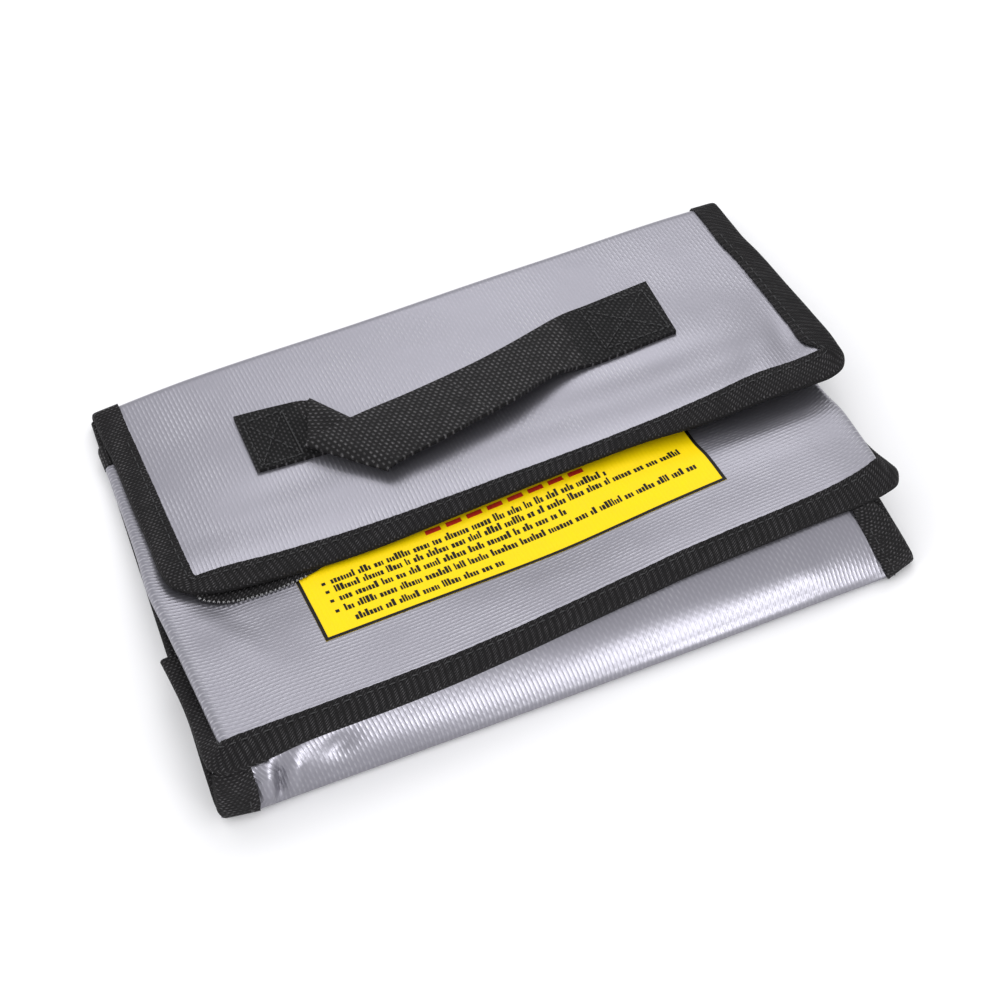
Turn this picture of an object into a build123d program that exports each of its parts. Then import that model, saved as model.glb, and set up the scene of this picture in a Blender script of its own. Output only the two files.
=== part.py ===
from build123d import *
import os

# Soft fireproof storage bag for model batteries, empty and half collapsed, lying on its back.
# Millimetres.  +X runs along the long side, +Y from the bottom end to the mouth, +Z up.
# The origin is on the resting surface, under the centre of the bounding box.

# ---- driving dimensions --------------------------------------------------------------------
CLOTH = 0.6            # coated woven glass cloth
LINING = 0.4           # inner cloth
TAPE = 0.6             # one leg of the folded binding tape
TAPE_WIDTH = 8.5       # visible half of the folded binding tape
WEBBING = 1.5          # carrying strap
STRAP_WIDTH = 25.0
FASTENER = 0.8         # hook tape, and loop tape
THREAD = 0.3
PRINT = 0.15           # printed notice
CLEAR = 0.2            # gap between pieces that move apart

LEFT, RIGHT = 0, 1     # each line across the bag has a left and a right end
INWARD = (1, -1)       # direction of an inset from the left and from the right side

# Lines across the bag, as the y of their left and right ends.
NEAR = (-73.5, -73.5)          # bottom end, on the surface
NEAR_BULGE = (-74.8, -74.8)    # where the bottom panel rolls outwards
SEAM = (-64.0, -49.0)          # front panel to bottom panel
MOUTH = (55.5, 62.5)           # free edge of the front panel
FOLD = (68.0, 75.2)            # flap hinge line
FLAP_FRONT = (-13.0, -12.0)    # free edge of the flap

# Side edges, as the x of their near and far ends.
BASE_NEAR_X = (-110.0, 98.0)
BASE_FAR_X = (-105.0, 108.0)
FLAP_FRONT_X = (-103.0, 110.0)

# Heights.
BULGE_HEIGHT = 4.0
MOUTH_HEIGHT = 5.0     # top of the front panel at its mouth
FRONT_SLOPE = 0.135    # rise of the front panel towards the bottom end
FOLD_HEIGHT = 4.9      # underside of the flap at its hinge line
FLAP_SLOPE = 0.138     # rise of the flap towards the bottom end
FIN_DROP = 2.0         # the bottom seam's fin tips down by this much
CREASE_INSET = 24.0    # how far the side gussets fold inwards
FRONT_INSET = 3.0      # the front panel is narrower than the back panel by this much a side
THREAD_INSET = TAPE_WIDTH - 2.0
END_SHORT = 1.2        # the end bindings stop this far under the bottom seam's fin

# Fastener tapes, as the y of their left and right ends.
LOOP_NEAR = (9.5, 12.5)
LOOP_FAR = (31.5, 34.5)
LOOP_INSET = 22.0

# Printed notice.
NOTICE_LEFT, NOTICE_RIGHT = -69.0, 57.0
NOTICE_LOW, NOTICE_DEPTH = -43.5, 44.0
NOTICE_SKEW = 0.07             # it is printed parallel to the bottom seam
NOTICE_BORDER = 1.0

# Carrying strap.
STRAP_LEFT_X = (-66.0, -43.0)      # stitched end, left
STRAP_RIGHT_X = (39.0, 72.5)       # stitched end, right
STRAP_LEFT_Y = 36.0
STRAP_RIGHT_Y = 38.0
SLACK_LEFT_Y = 21.0                # the slack middle lies askew between the stitched ends
SLACK_RIGHT_Y = 36.0
# The slack middle's rise over the flap, as (share of its length, lift).
STRAP_ARCH = ((0.0, 0.0), (0.14, 1.0), (0.42, 6.6), (0.78, 6.6), (1.0, 0.0))
STITCH_MARGIN = 2.5

# ---- helpers -------------------------------------------------------------------------------
def middle(line):
    return (line[LEFT] + line[RIGHT]) / 2


def shifted(line, distance):
    return (line[LEFT] + distance, line[RIGHT] + distance)


def line_y(line, x):
    """The y of a line across the bag, at x."""
    share = (x - BASE_FAR_X[LEFT]) / (BASE_FAR_X[RIGHT] - BASE_FAR_X[LEFT])
    return line[LEFT] + (line[RIGHT] - line[LEFT]) * share


def side_edge(near_line, near_x):
    """Function for the x of a side edge that runs from near_x to the bag's far corner."""
    def edge_x(side, y, inset=0.0):
        near_y, far_y = near_line[side], FOLD[side]
        share = (y - near_y) / (far_y - near_y)
        return near_x[side] + (BASE_FAR_X[side] - near_x[side]) * share + inset * INWARD[side]
    return edge_x


base_x = side_edge(NEAR, BASE_NEAR_X)
flap_x = side_edge(FLAP_FRONT, FLAP_FRONT_X)


def crossing(line, side, edge_x, inset):
    """The y where a line across the bag meets a side edge."""
    y = line[side]
    for _ in range(4):
        y = line_y(line, edge_x(side, y, inset))
    return y


def front_top(y):
    return MOUTH_HEIGHT + FRONT_SLOPE * (middle(MOUTH) - y)


def flap_bottom(y):
    return FOLD_HEIGHT + FLAP_SLOPE * (middle(FOLD) - y)


def flap_top(y):
    return flap_bottom(y) + LINING + CLOTH


def block(first, second):
    """Solid between two flat outlines with the same number of corners."""
    return Solid.make_loft([Wire.make_polygon(first), Wire.make_polygon(second)], ruled=True)


def span(profile, edge_x, inset=0.0):
    """Sheet from side to side; profile(at) lists its (y, z) corners, at(line) is a line's y."""
    outlines = []
    for side in (LEFT, RIGHT):
        def at(line):
            return crossing(line, side, edge_x, inset)
        outlines.append([Vector(edge_x(side, y, inset), y, z) for y, z in profile(at)])
    return block(*outlines)


def rail(side, section, near, far, edge_x, inset=0.0):
    """Strip along one side; section(y) lists its (inset, z) corners."""
    outlines = []
    for y in (near[side], far[side]):
        outlines.append([Vector(edge_x(side, y, inset + i), y, z) for i, z in section(y)])
    return block(*outlines)


def plan(near, far, edge_x, inset):
    """Corners (x, y) of the area between two lines across the bag."""
    corners = []
    for side, line in ((LEFT, near), (RIGHT, near), (RIGHT, far), (LEFT, far)):
        y = crossing(line, side, edge_x, inset)
        corners.append((edge_x(side, y, inset), y))
    return corners


def slab(corners, height, thickness):
    """Sheet over plan corners (x, y), lying on height(y)."""
    low = [Vector(x, y, height(y)) for x, y in corners]
    high = [Vector(x, y, height(y) + thickness) for x, y in corners]
    return block(low, high)


def tape_section(low, high):
    """Folded tape round an edge whose layers lie between the heights low and high."""
    return [(0, low - TAPE), (TAPE_WIDTH, low - TAPE), (TAPE_WIDTH, low), (TAPE, low),
            (TAPE, high), (TAPE_WIDTH, high), (TAPE_WIDTH, high + TAPE), (0, high + TAPE)]


def layer(near, far, height, thickness):
    """Profile of a flat layer between two lines across the bag."""
    def profile(at):
        y_near, y_far = at(near), at(far)
        return [(y_near, height(y_near)), (y_far, height(y_far)),
                (y_far, height(y_far) + thickness), (y_near, height(y_near) + thickness)]
    return profile


parts = {}

# ---- bag: back panel, bottom panel, lower half of the gussets ---------------------------------
margin_low = TAPE
margin_high = margin_low + CLOTH
back_middle = slab(plan(NEAR, FOLD, base_x, TAPE_WIDTH + CLEAR), lambda y: 0.0, CLOTH)


def margin_section(y):
    """The panel's margin, raised onto the lower leg of the binding."""
    inner = TAPE_WIDTH + 2 * TAPE
    return [(TAPE, margin_low), (inner, margin_low), (inner, margin_high), (TAPE, margin_high)]


back_margins = [rail(side, margin_section, NEAR, FOLD, base_x) for side in (LEFT, RIGHT)]
parts["back_panel"] = back_middle.fuse(*back_margins)
parts["back_lining"] = span(layer(shifted(NEAR, 1.5), FOLD, lambda y: CLOTH, LINING), base_x,
                            TAPE_WIDTH + 3 * TAPE)


def fold_band(at):
    """Upright cloth behind the hinge line, low enough to let the flap turn over it."""
    outer = at(FOLD) + 1.0
    top = flap_bottom(at(FOLD)) - CLEAR - 2 * TAPE
    return [(outer - CLOTH, 0.0), (outer, 0.0), (outer, top), (outer - CLOTH, top)]


parts["mouth_fold_band"] = span(fold_band, base_x)


def bottom_top(seam_y):
    """Height of the bottom panel's upper edge, just under the front panel's fin."""
    return front_top(seam_y) - CLOTH - TAPE - 2 * CLEAR


def bottom_sheet(depth, thickness, foot):
    """Bottom panel layer, a given depth behind its outer face."""
    def profile(at):
        near_y = at(NEAR) + (at(NEAR_BULGE) - at(NEAR)) * foot / BULGE_HEIGHT
        outer = [(near_y, foot), (at(NEAR_BULGE), BULGE_HEIGHT), (at(SEAM), bottom_top(at(SEAM)))]
        front_face = [(y + depth, z) for y, z in outer]
        back_face = [(y + depth + thickness, z) for y, z in reversed(outer)]
        return front_face + back_face
    return profile


parts["bottom_panel"] = span(bottom_sheet(-CLOTH, CLOTH, 0.0), base_x, TAPE)
parts["bottom_lining"] = span(bottom_sheet(LINING / 4, LINING, CLOTH + LINING), base_x,
                              TAPE_WIDTH + 3 * TAPE)


def end_binding(side):
    """Folded tape up the end of the bottom panel, between two level outlines."""
    outer, inner = -CLOTH - CLEAR / 2, CLEAR / 2
    section = [(0, outer - TAPE), (TAPE_WIDTH, outer - TAPE), (TAPE_WIDTH, outer),
               (TAPE, outer), (TAPE, inner), (TAPE_WIDTH, inner), (TAPE_WIDTH, inner + TAPE),
               (0, inner + TAPE)]
    outlines = []
    for z in (BULGE_HEIGHT, bottom_top(SEAM[side]) - END_SHORT):
        corners = []
        for inset, depth in section:
            y = NEAR_BULGE[side]
            for _ in range(3):
                x = base_x(side, y, inset)
                seam_y = line_y(SEAM, x)
                share = (z - BULGE_HEIGHT) / (bottom_top(seam_y) - BULGE_HEIGHT)
                y = line_y(NEAR_BULGE, x) * (1 - share) + seam_y * share
            corners.append(Vector(x, y + depth, z))
        outlines.append(corners)
    return block(*outlines)


def gusset_near_y(side, z):
    """The near end of a gusset leans back with the bottom panel."""
    low_z, low_y = CLOTH + TAPE, NEAR[side] + 3.0
    high_z, high_y = front_top(SEAM[side]) - 1.0, SEAM[side] + 2.0
    return low_y + (high_y - low_y) * (z - low_z) / (high_z - low_z)


def gusset_half(side, near_corners, far_corners, far_y):
    near = []
    for inset, z in near_corners:
        y = gusset_near_y(side, z)
        near.append(Vector(base_x(side, y, inset), y, z))
    far = [Vector(base_x(side, far_y, inset), far_y, z) for inset, z in far_corners]
    return block(near, far)


def lower_gusset(side):
    """From the seam fin inwards and up to the crease."""
    root = margin_high
    near_crease = (root + front_top(SEAM[side])) / 2
    far_crease = root + 0.6

    def corners(crease):
        return [(TAPE, root), (TAPE_WIDTH, root), (CREASE_INSET, crease),
                (CREASE_INSET, crease + CLOTH), (TAPE_WIDTH, root + CLOTH), (TAPE, root + CLOTH)]
    return gusset_half(side, corners(near_crease), corners(far_crease), MOUTH[side])


def upper_gusset(side):
    """From the front panel's side fold inwards and down to the crease."""
    near_crease = (margin_high + front_top(SEAM[side])) / 2 + 5 * CLOTH
    far_crease = margin_high + 0.6 + 3 * CLOTH
    far_y = MOUTH[side] - TAPE_WIDTH - 3 * CLEAR
    near_root = front_top(SEAM[side] + 2.0) - 2 * CLOTH
    far_root = front_top(far_y) - 2 * CLOTH

    def corners(root, crease):
        return [(3 * CLOTH, root), (CREASE_INSET, crease), (CREASE_INSET, crease + CLOTH),
                (3 * CLOTH, root + CLOTH - 0.01)]
    return gusset_half(side, corners(near_root, near_crease), corners(far_root, far_crease), far_y)


for side, name in ((LEFT, "left"), (RIGHT, "right")):
    parts[name + "_gusset_lower"] = lower_gusset(side)
    parts[name + "_gusset_upper"] = upper_gusset(side)
    parts[name + "_end_binding"] = end_binding(side)
    parts[name + "_seam_binding"] = rail(
        side, lambda y: tape_section(margin_low, margin_high + CLOTH), NEAR, FOLD, base_x)


def thread_section(inset, height):
    return [(inset, height), (inset + 2 * THREAD, height), (inset + 2 * THREAD, height + THREAD),
            (inset, height + THREAD)]


seam_top = margin_high + CLOTH + TAPE
parts["seam_threads"] = Compound([
    rail(side, lambda y: thread_section(THREAD_INSET, seam_top), shifted(NEAR, 4.0), MOUTH, base_x)
    for side in (LEFT, RIGHT)])

# ---- front: front panel, its fin at the bottom seam, notice, loop tape ------------------------
def fin_top(seam_y, distance):
    """Top of the fin, which bends down past the seam."""
    return front_top(seam_y) - FIN_DROP * distance / TAPE_WIDTH


def front_sheet(at):
    seam, mouth = at(SEAM), at(MOUTH) - TAPE
    reach = TAPE_WIDTH - TAPE
    top = [(mouth, front_top(mouth)), (seam, front_top(seam)), (seam - reach, fin_top(seam, reach))]
    return top + [(y, z - CLOTH) for y, z in reversed(top)]


parts["front_panel"] = span(front_sheet, base_x, FRONT_INSET)
parts["front_lining"] = span(layer(shifted(SEAM, 2.0), shifted(MOUTH, -TAPE_WIDTH - 2 * CLEAR),
                                   lambda y: front_top(y) - CLOTH - LINING, LINING),
                             base_x, TAPE_WIDTH + 3 * TAPE)


def folded_tape(edge, inward, height, low, high):
    """Profile of a tape folded over an edge across the bag; low and high are its layers' faces."""
    def profile(at):
        corners = []
        for distance, z in tape_section(low, high):
            y = at(edge) + distance * inward
            corners.append((y, height(y) + z))
        return corners
    return profile


def seam_fin(corners):
    """Profile on the fin; each corner is a distance in from its tip, and a height over its top."""
    def profile(at):
        seam = at(SEAM)
        return [(seam - TAPE_WIDTH + d, fin_top(seam, TAPE_WIDTH - d) + z) for d, z in corners]
    return profile


parts["mouth_binding"] = span(folded_tape(MOUTH, -1, front_top, -CLOTH, 0.0), base_x, FRONT_INSET)
parts["bottom_seam_binding"] = span(seam_fin(tape_section(-CLOTH, 0.0)), base_x, TAPE)
parts["bottom_seam_thread"] = span(seam_fin(thread_section(THREAD_INSET, TAPE)), base_x,
                                   2 * FRONT_INSET)

parts["loop_tape"] = span(layer(LOOP_NEAR, LOOP_FAR, front_top, FASTENER), base_x, LOOP_INSET)

def notice_corners(shrink):
    """Plan corners of the printed notice, which runs parallel to the bottom seam."""
    low_x, high_x = NOTICE_LEFT + shrink, NOTICE_RIGHT - shrink
    low_y, high_y = NOTICE_LOW + shrink, NOTICE_LOW + NOTICE_DEPTH - shrink
    corners = ((low_x, low_y), (high_x, low_y), (high_x, high_y), (low_x, high_y))
    return [(x, y + NOTICE_SKEW * (x - NOTICE_LEFT)) for x, y in corners]


notice_inner = slab(notice_corners(NOTICE_BORDER), front_top, PRINT)
parts["notice_panel"] = notice_inner
parts["notice_border"] = slab(notice_corners(0.0), front_top, PRINT).cut(notice_inner)

# ---- flap: panel, lining, bindings, hook tape, stitched ends of the carrying strap ------------
hinge_back = shifted(FOLD, 0.9)
flap_inner = shifted(FLAP_FRONT, TAPE + CLEAR / 2)
parts["flap_panel"] = span(layer(flap_inner, hinge_back, lambda y: flap_bottom(y) + LINING, CLOTH),
                           flap_x, TAPE)
parts["flap_lining"] = span(layer(flap_inner, hinge_back, flap_bottom, LINING), flap_x, TAPE)
flap_side_front = shifted(FLAP_FRONT, TAPE_WIDTH + 2 * CLEAR)
for side, name in ((LEFT, "left"), (RIGHT, "right")):
    parts["flap_binding_" + name] = rail(
        side, lambda y: tape_section(flap_bottom(y), flap_top(y)), flap_side_front, FOLD, flap_x)
parts["flap_binding_front"] = span(
    folded_tape(FLAP_FRONT, 1, flap_bottom, 0.0, LINING + CLOTH), flap_x)
thread_line = shifted(FLAP_FRONT, THREAD_INSET)
flap_threads = [span(layer(thread_line, shifted(thread_line, 2 * THREAD),
                           lambda y: flap_top(y) + TAPE, THREAD), flap_x, TAPE_WIDTH)]
for side in (LEFT, RIGHT):
    flap_threads.append(rail(side, lambda y: thread_section(THREAD_INSET, flap_top(y) + TAPE),
                             shifted(FLAP_FRONT, TAPE_WIDTH + 2.0), shifted(FOLD, -4.0), flap_x))
parts["flap_threads"] = Compound(flap_threads)
parts["hook_tape"] = span(layer(LOOP_NEAR, LOOP_FAR, lambda y: flap_bottom(y) - FASTENER, FASTENER),
                          base_x, LOOP_INSET)

def strap_corners(x_range, centre_y, shrink=0.0):
    half = STRAP_WIDTH / 2 - shrink
    low_x, high_x = x_range[0] + shrink, x_range[1] - shrink
    return [(low_x, centre_y - half), (high_x, centre_y - half),
            (high_x, centre_y + half), (low_x, centre_y + half)]


def box_stitch(x_range, centre_y):
    """Sewn square with two diagonals, standing on a strap end."""
    def on_strap(y):
        return flap_top(y) + WEBBING
    outer = strap_corners(x_range, centre_y, STITCH_MARGIN)
    inner = strap_corners(x_range, centre_y, STITCH_MARGIN + 2 * THREAD)
    frame = slab(outer, on_strap, THREAD).cut(slab(inner, on_strap, THREAD))
    threads = [frame]
    for start, end in ((0, 2), (1, 3)):
        (x0, y0), (x1, y1) = inner[start], inner[end]
        diagonal = [(x0, y0 - THREAD), (x1, y1 - THREAD), (x1, y1 + THREAD), (x0, y0 + THREAD)]
        threads.append(slab(diagonal, on_strap, THREAD))
    return threads[0].fuse(*threads[1:])


for name, x_range, centre_y in (("left", STRAP_LEFT_X, STRAP_LEFT_Y),
                                ("right", STRAP_RIGHT_X, STRAP_RIGHT_Y)):
    parts["handle_end_" + name] = slab(strap_corners(x_range, centre_y), flap_top, WEBBING)
    parts["handle_stitch_" + name] = box_stitch(x_range, centre_y)


def strap_arch():
    """Slack strap between its stitched ends, arched off the flap."""
    start_x, end_x = STRAP_LEFT_X[1] + CLEAR, STRAP_RIGHT_X[0] - CLEAR
    outlines = []
    for edge in (-STRAP_WIDTH / 2, STRAP_WIDTH / 2):
        low, high = [], []
        for share, lift in STRAP_ARCH:
            x = start_x + (end_x - start_x) * share
            y = SLACK_LEFT_Y + (SLACK_RIGHT_Y - SLACK_LEFT_Y) * share + edge
            base = flap_top(y) + CLEAR + lift
            low.append(Vector(x, y, base))
            high.append(Vector(x, y, base + WEBBING))
        outlines.append(low + high[::-1])
    return block(*outlines)


parts["handle_strap"] = strap_arch()

# ---- output ----------------------------------------------------------------------------------
os.makedirs("parts", exist_ok=True)
for name, shape in parts.items():
    export_step(shape, "parts/" + name + ".step")
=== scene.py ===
import math
import bpy
import numpy as np
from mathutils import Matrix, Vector


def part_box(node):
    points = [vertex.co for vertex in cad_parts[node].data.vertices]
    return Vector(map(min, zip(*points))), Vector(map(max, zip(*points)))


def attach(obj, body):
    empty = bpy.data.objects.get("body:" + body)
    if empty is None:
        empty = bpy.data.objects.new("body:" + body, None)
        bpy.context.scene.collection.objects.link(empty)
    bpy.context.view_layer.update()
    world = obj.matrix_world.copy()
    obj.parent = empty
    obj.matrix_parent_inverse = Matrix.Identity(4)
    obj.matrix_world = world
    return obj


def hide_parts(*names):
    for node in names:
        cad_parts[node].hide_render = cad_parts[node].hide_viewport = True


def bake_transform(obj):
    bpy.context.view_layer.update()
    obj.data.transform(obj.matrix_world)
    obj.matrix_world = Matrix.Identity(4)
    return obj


# Soft fireproof storage bag for model batteries, empty and half collapsed, lying on its back.
# Shapes are worked out in millimetres and scaled to metres as the meshes are made.

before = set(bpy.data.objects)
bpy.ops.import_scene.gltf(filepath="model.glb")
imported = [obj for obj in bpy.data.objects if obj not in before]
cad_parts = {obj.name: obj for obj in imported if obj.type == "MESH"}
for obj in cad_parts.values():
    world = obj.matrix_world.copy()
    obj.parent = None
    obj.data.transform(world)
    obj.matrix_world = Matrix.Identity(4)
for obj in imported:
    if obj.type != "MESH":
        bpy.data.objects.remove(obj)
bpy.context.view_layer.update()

MM = 0.001
rng = np.random.default_rng(7)

CLOTH = 0.6        # coated cloth
LINING = 0.35      # inner cloth
TAPE = 0.55        # one leg of the binding
WEBBING = 1.3      # carrying strap
FASTENER = 0.5     # hook tape and loop tape
INK = 0.08         # one layer of print
ON_TABLE = 0.04    # least height of any cloth over the table
THREAD_PITCH = 1.25   # of the silver cloth
FOLD_INSET = 0.25     # of a folded tape from the line it is folded on
CLEAR = 0.02       # between two layers that lie on each other


def sides_of(node):
    """Left and right side of a CAD node's box, in millimetres."""
    return [corner[0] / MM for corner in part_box(node)]


# ---- curves and grids
def blend_rows(knots, values, at, monotone=True):
    """Smooth value at each position; values holds one row per knot, one column per position."""
    knots = np.asarray(knots, float)
    values = np.asarray(values, float)
    steps = np.diff(knots)
    rise = np.diff(values, axis=0) / steps[:, None]
    slopes = np.zeros_like(values)
    if monotone:
        product, total = rise[:-1] * rise[1:], rise[:-1] + rise[1:]
        slopes[1:-1] = np.where(product > 0, 2 * product / np.where(total == 0, 1, total), 0)
    else:
        before, after = steps[:-1, None], steps[1:, None]
        slopes[1:-1] = (rise[:-1] * after + rise[1:] * before) / (before + after)
    slopes[0], slopes[-1] = rise[0], rise[-1]
    at = np.clip(at, knots[0], knots[-1])
    i = np.clip(np.searchsorted(knots, at, side="right") - 1, 0, len(knots) - 2)
    n = np.arange(at.size)
    h = steps[i]
    t = (at - knots[i]) / h
    return (values[i, n] * (1 + 2 * t) * (1 - t) ** 2 + h * slopes[i, n] * t * (1 - t) ** 2
            + values[i + 1, n] * t * t * (3 - 2 * t) + h * slopes[i + 1, n] * t * t * (t - 1))


def through(*knots):
    """Smooth function through (position, value) knots, level beyond both ends."""
    positions = [k[0] for k in knots]
    values = np.array([k[1] for k in knots], float)[:, None]

    def value(at):
        at = np.asarray(at, float)
        flat = at.ravel()
        return blend_rows(positions, np.repeat(values, flat.size, axis=1), flat).reshape(at.shape)
    return value


def heights(columns, **rows):
    """Smooth height over the plan; each row is named by its y (ym15 is y = -15)."""
    lines = sorted((float(key[1:].replace("m", "-")), through(*zip(columns, row)))
                   for key, row in rows.items())
    knots = [y for y, _ in lines]

    def height(x, y):
        x, y = np.broadcast_arrays(np.asarray(x, float), np.asarray(y, float))
        values = np.array([line(x.ravel()) for _, line in lines])
        return blend_rows(knots, values, y.ravel()).reshape(x.shape)
    return height


def distances(line):
    """How far along a line each of its points is."""
    return np.concatenate([[0], np.cumsum(np.linalg.norm(np.diff(line, axis=0), axis=1))])


def along(points, count, monotone=False):
    """Points on the smooth curve through the given ones: a count of them, or at shares."""
    points = np.asarray(points, float)
    chord = distances(points)
    shares = np.linspace(0, 1, count) if np.isscalar(count) else count
    at = shares * chord[-1]
    return np.stack([blend_rows(chord, np.repeat(points[:, k:k + 1], at.size, axis=1), at,
                                monotone=monotone) for k in range(points.shape[1])], axis=1)


def unit(v):
    return v / np.maximum(np.linalg.norm(v, axis=-1, keepdims=True), 1e-9)


def grid_normals(grid):
    return unit(np.cross(np.gradient(grid, axis=1), np.gradient(grid, axis=0)))


def wander(x, y, size, seed):
    """Gentle unevenness between about -1 and 1, with waves of about the given size."""
    draw = np.random.default_rng(seed)
    total = np.zeros_like(x)
    for _ in range(7):
        angle, phase = draw.uniform(0, math.tau, 2)
        length = size * draw.uniform(0.7, 1.8)
        total += np.sin(math.tau / length * (x * math.cos(angle) + y * math.sin(angle)) + phase)
    return total / 3.5


def bump(x, centre, width):
    return np.exp(-((x - centre) / width) ** 2)


def over(height):
    """Function that gives points at a lift over a surface of that height, and its normals."""
    def lifted(x, y, lift=0.0):
        x, y = np.broadcast_arrays(np.asarray(x, float), np.asarray(y, float))
        step = 0.5
        slope_x = (height(x + step, y) - height(x - step, y)) / (2 * step)
        slope_y = (height(x, y + step) - height(x, y - step)) / (2 * step)
        normal = unit(np.stack([-slope_x, -slope_y, np.ones_like(x)], axis=-1))
        return np.stack([x, y, height(x, y)], axis=-1) + normal * lift, normal
    return lifted


# ---- meshes
def make_mesh(name, points, faces, uvs, material, sharp=38):
    mesh = bpy.data.meshes.new(name)
    mesh.from_pydata((np.asarray(points) * MM).tolist(), [], [list(map(int, f)) for f in faces])
    layer = mesh.uv_layers.new(name="UVMap")
    corners = np.zeros(len(mesh.loops), int)
    mesh.loops.foreach_get("vertex_index", corners)
    layer.data.foreach_set("uv", np.asarray(uvs, float)[corners].ravel())
    mesh.materials.append(material)
    mesh.shade_smooth()
    mesh.set_sharp_from_angle(angle=math.radians(sharp))
    mesh.update()
    obj = bpy.data.objects.new(name, mesh)
    bpy.context.scene.collection.objects.link(obj)
    return obj


def solid_sheet(name, grid, thickness, material, sharp=38):
    """Closed sheet of that thickness about a grid of points, with its UV map in millimetres."""
    rows, cols, _ = grid.shape
    normal = grid_normals(grid)
    points = np.concatenate([(grid + normal * thickness / 2).reshape(-1, 3),
                             (grid - normal * thickness / 2).reshape(-1, 3)])
    u = np.zeros((rows, cols))
    v = np.zeros((rows, cols))
    u[:, 1:] = np.cumsum(np.linalg.norm(np.diff(grid, axis=1), axis=2), axis=1)
    v[1:, :] = np.cumsum(np.linalg.norm(np.diff(grid, axis=0), axis=2), axis=0)
    u -= u[:, cols // 2][:, None]
    uvs = np.tile(np.stack([u.ravel(), v.ravel()], axis=1), (2, 1))
    index = np.arange(rows * cols).reshape(rows, cols)
    a, b, c, d = index[:-1, :-1], index[:-1, 1:], index[1:, 1:], index[1:, :-1]
    top = np.stack([a, b, c, d], axis=-1).reshape(-1, 4)
    below = rows * cols
    bottom = top[:, ::-1] + below
    rim = np.concatenate([index[0, :-1], index[:-1, -1], index[-1, :0:-1], index[:0:-1, 0]])
    following = np.roll(rim, -1)
    side = np.stack([rim, rim + below, following + below, following], axis=-1)
    return make_mesh(name, points, np.concatenate([top, bottom, side]), uvs, material, sharp)


def folded_tape(name, outer, inner, half_gap, material, rib=0.06, wavy=0.07):
    """Tape folded over an edge: outer is the fold, inner the line where both legs end."""
    outer, inner = np.asarray(outer, float), np.asarray(inner, float)
    forward = unit(np.gradient(outer, axis=0) + np.gradient(inner, axis=0))
    across = inner - outer
    width = np.linalg.norm(across, axis=1, keepdims=True)
    across = across / width
    normal = unit(np.cross(forward, across))
    if normal.mean(0)[2] < 0:
        normal = -normal
    station = distances(outer)
    lift = half_gap + TAPE / 2
    uneven = wavy / 2 * (np.sin(station * 2.3) + np.sin(station * 1.27 + 1)
                         + np.sin(station * 0.31))
    ribs = rib * np.sin(math.tau * station)
    columns = []
    for share, height in ((1, 1), (.8, 1), (.6, 1), (.4, 1), (.22, 1), (.1, .93), (.035, .62),
                          (0, 0), (.035, -.62), (.1, -.93), (.22, -1), (.4, -1), (.6, -1),
                          (.8, -1), (1, -1)):
        reach = width * share + (uneven * share)[:, None] + FOLD_INSET
        rise = height * lift + ribs * np.sign(height)
        columns.append(outer + across * reach + normal * rise[:, None])
    grid = np.stack(columns, axis=1)
    grid[..., 2] = np.maximum(grid[..., 2], TAPE / 2 + ON_TABLE)
    if np.dot(np.cross(forward, across).mean(0), normal.mean(0)) > 0:
        grid = grid[:, ::-1]
    return solid_sheet(name, grid, TAPE, material, sharp=60)


def stitches(name, line, normals, material, length=2.3, gap=0.9, radius=0.2):
    """Row of short threads along a line; each dives into the cloth at both ends."""
    line, normals = np.asarray(line, float), np.asarray(normals, float)
    station = distances(line)
    points, faces, uvs = [], [], []
    rings, sides = 7, 6
    start = gap
    while start + length < station[-1]:
        at = start + length * np.array([0, .08, .3, .5, .7, .92, 1])
        centre = np.stack([np.interp(at, station, line[:, k]) for k in range(3)], axis=1)
        centre[:, 2] = np.maximum(centre[:, 2], 2.8 * radius)      # off the table
        up = unit(np.stack([np.interp(at, station, normals[:, k]) for k in range(3)], axis=1))
        forward = unit(np.gradient(centre, axis=0))
        side = unit(np.cross(up, forward))
        size = radius * np.array([.25, .75, 1, 1.02, 1, .75, .25])
        rise = radius * np.array([-1.6, -.3, .55, .7, .55, -.3, -1.6])
        base = len(points)
        for k in range(rings):
            for turn in range(sides):
                angle = turn * math.tau / sides
                offset = math.cos(angle) * side[k] + math.sin(angle) * up[k]
                points.append(centre[k] + up[k] * rise[k] + offset * size[k])
                uvs.append((at[k], turn))
        for k in range(rings - 1):
            for turn in range(sides):
                a, b = base + k * sides + turn, base + k * sides + (turn + 1) % sides
                faces.append((a, b, b + sides, a + sides))
        faces.append([base + turn for turn in range(sides)][::-1])
        faces.append([base + (rings - 1) * sides + turn for turn in range(sides)])
        start += length + gap
    return make_mesh(name, np.array(points), faces, np.array(uvs), material, sharp=80)


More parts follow.
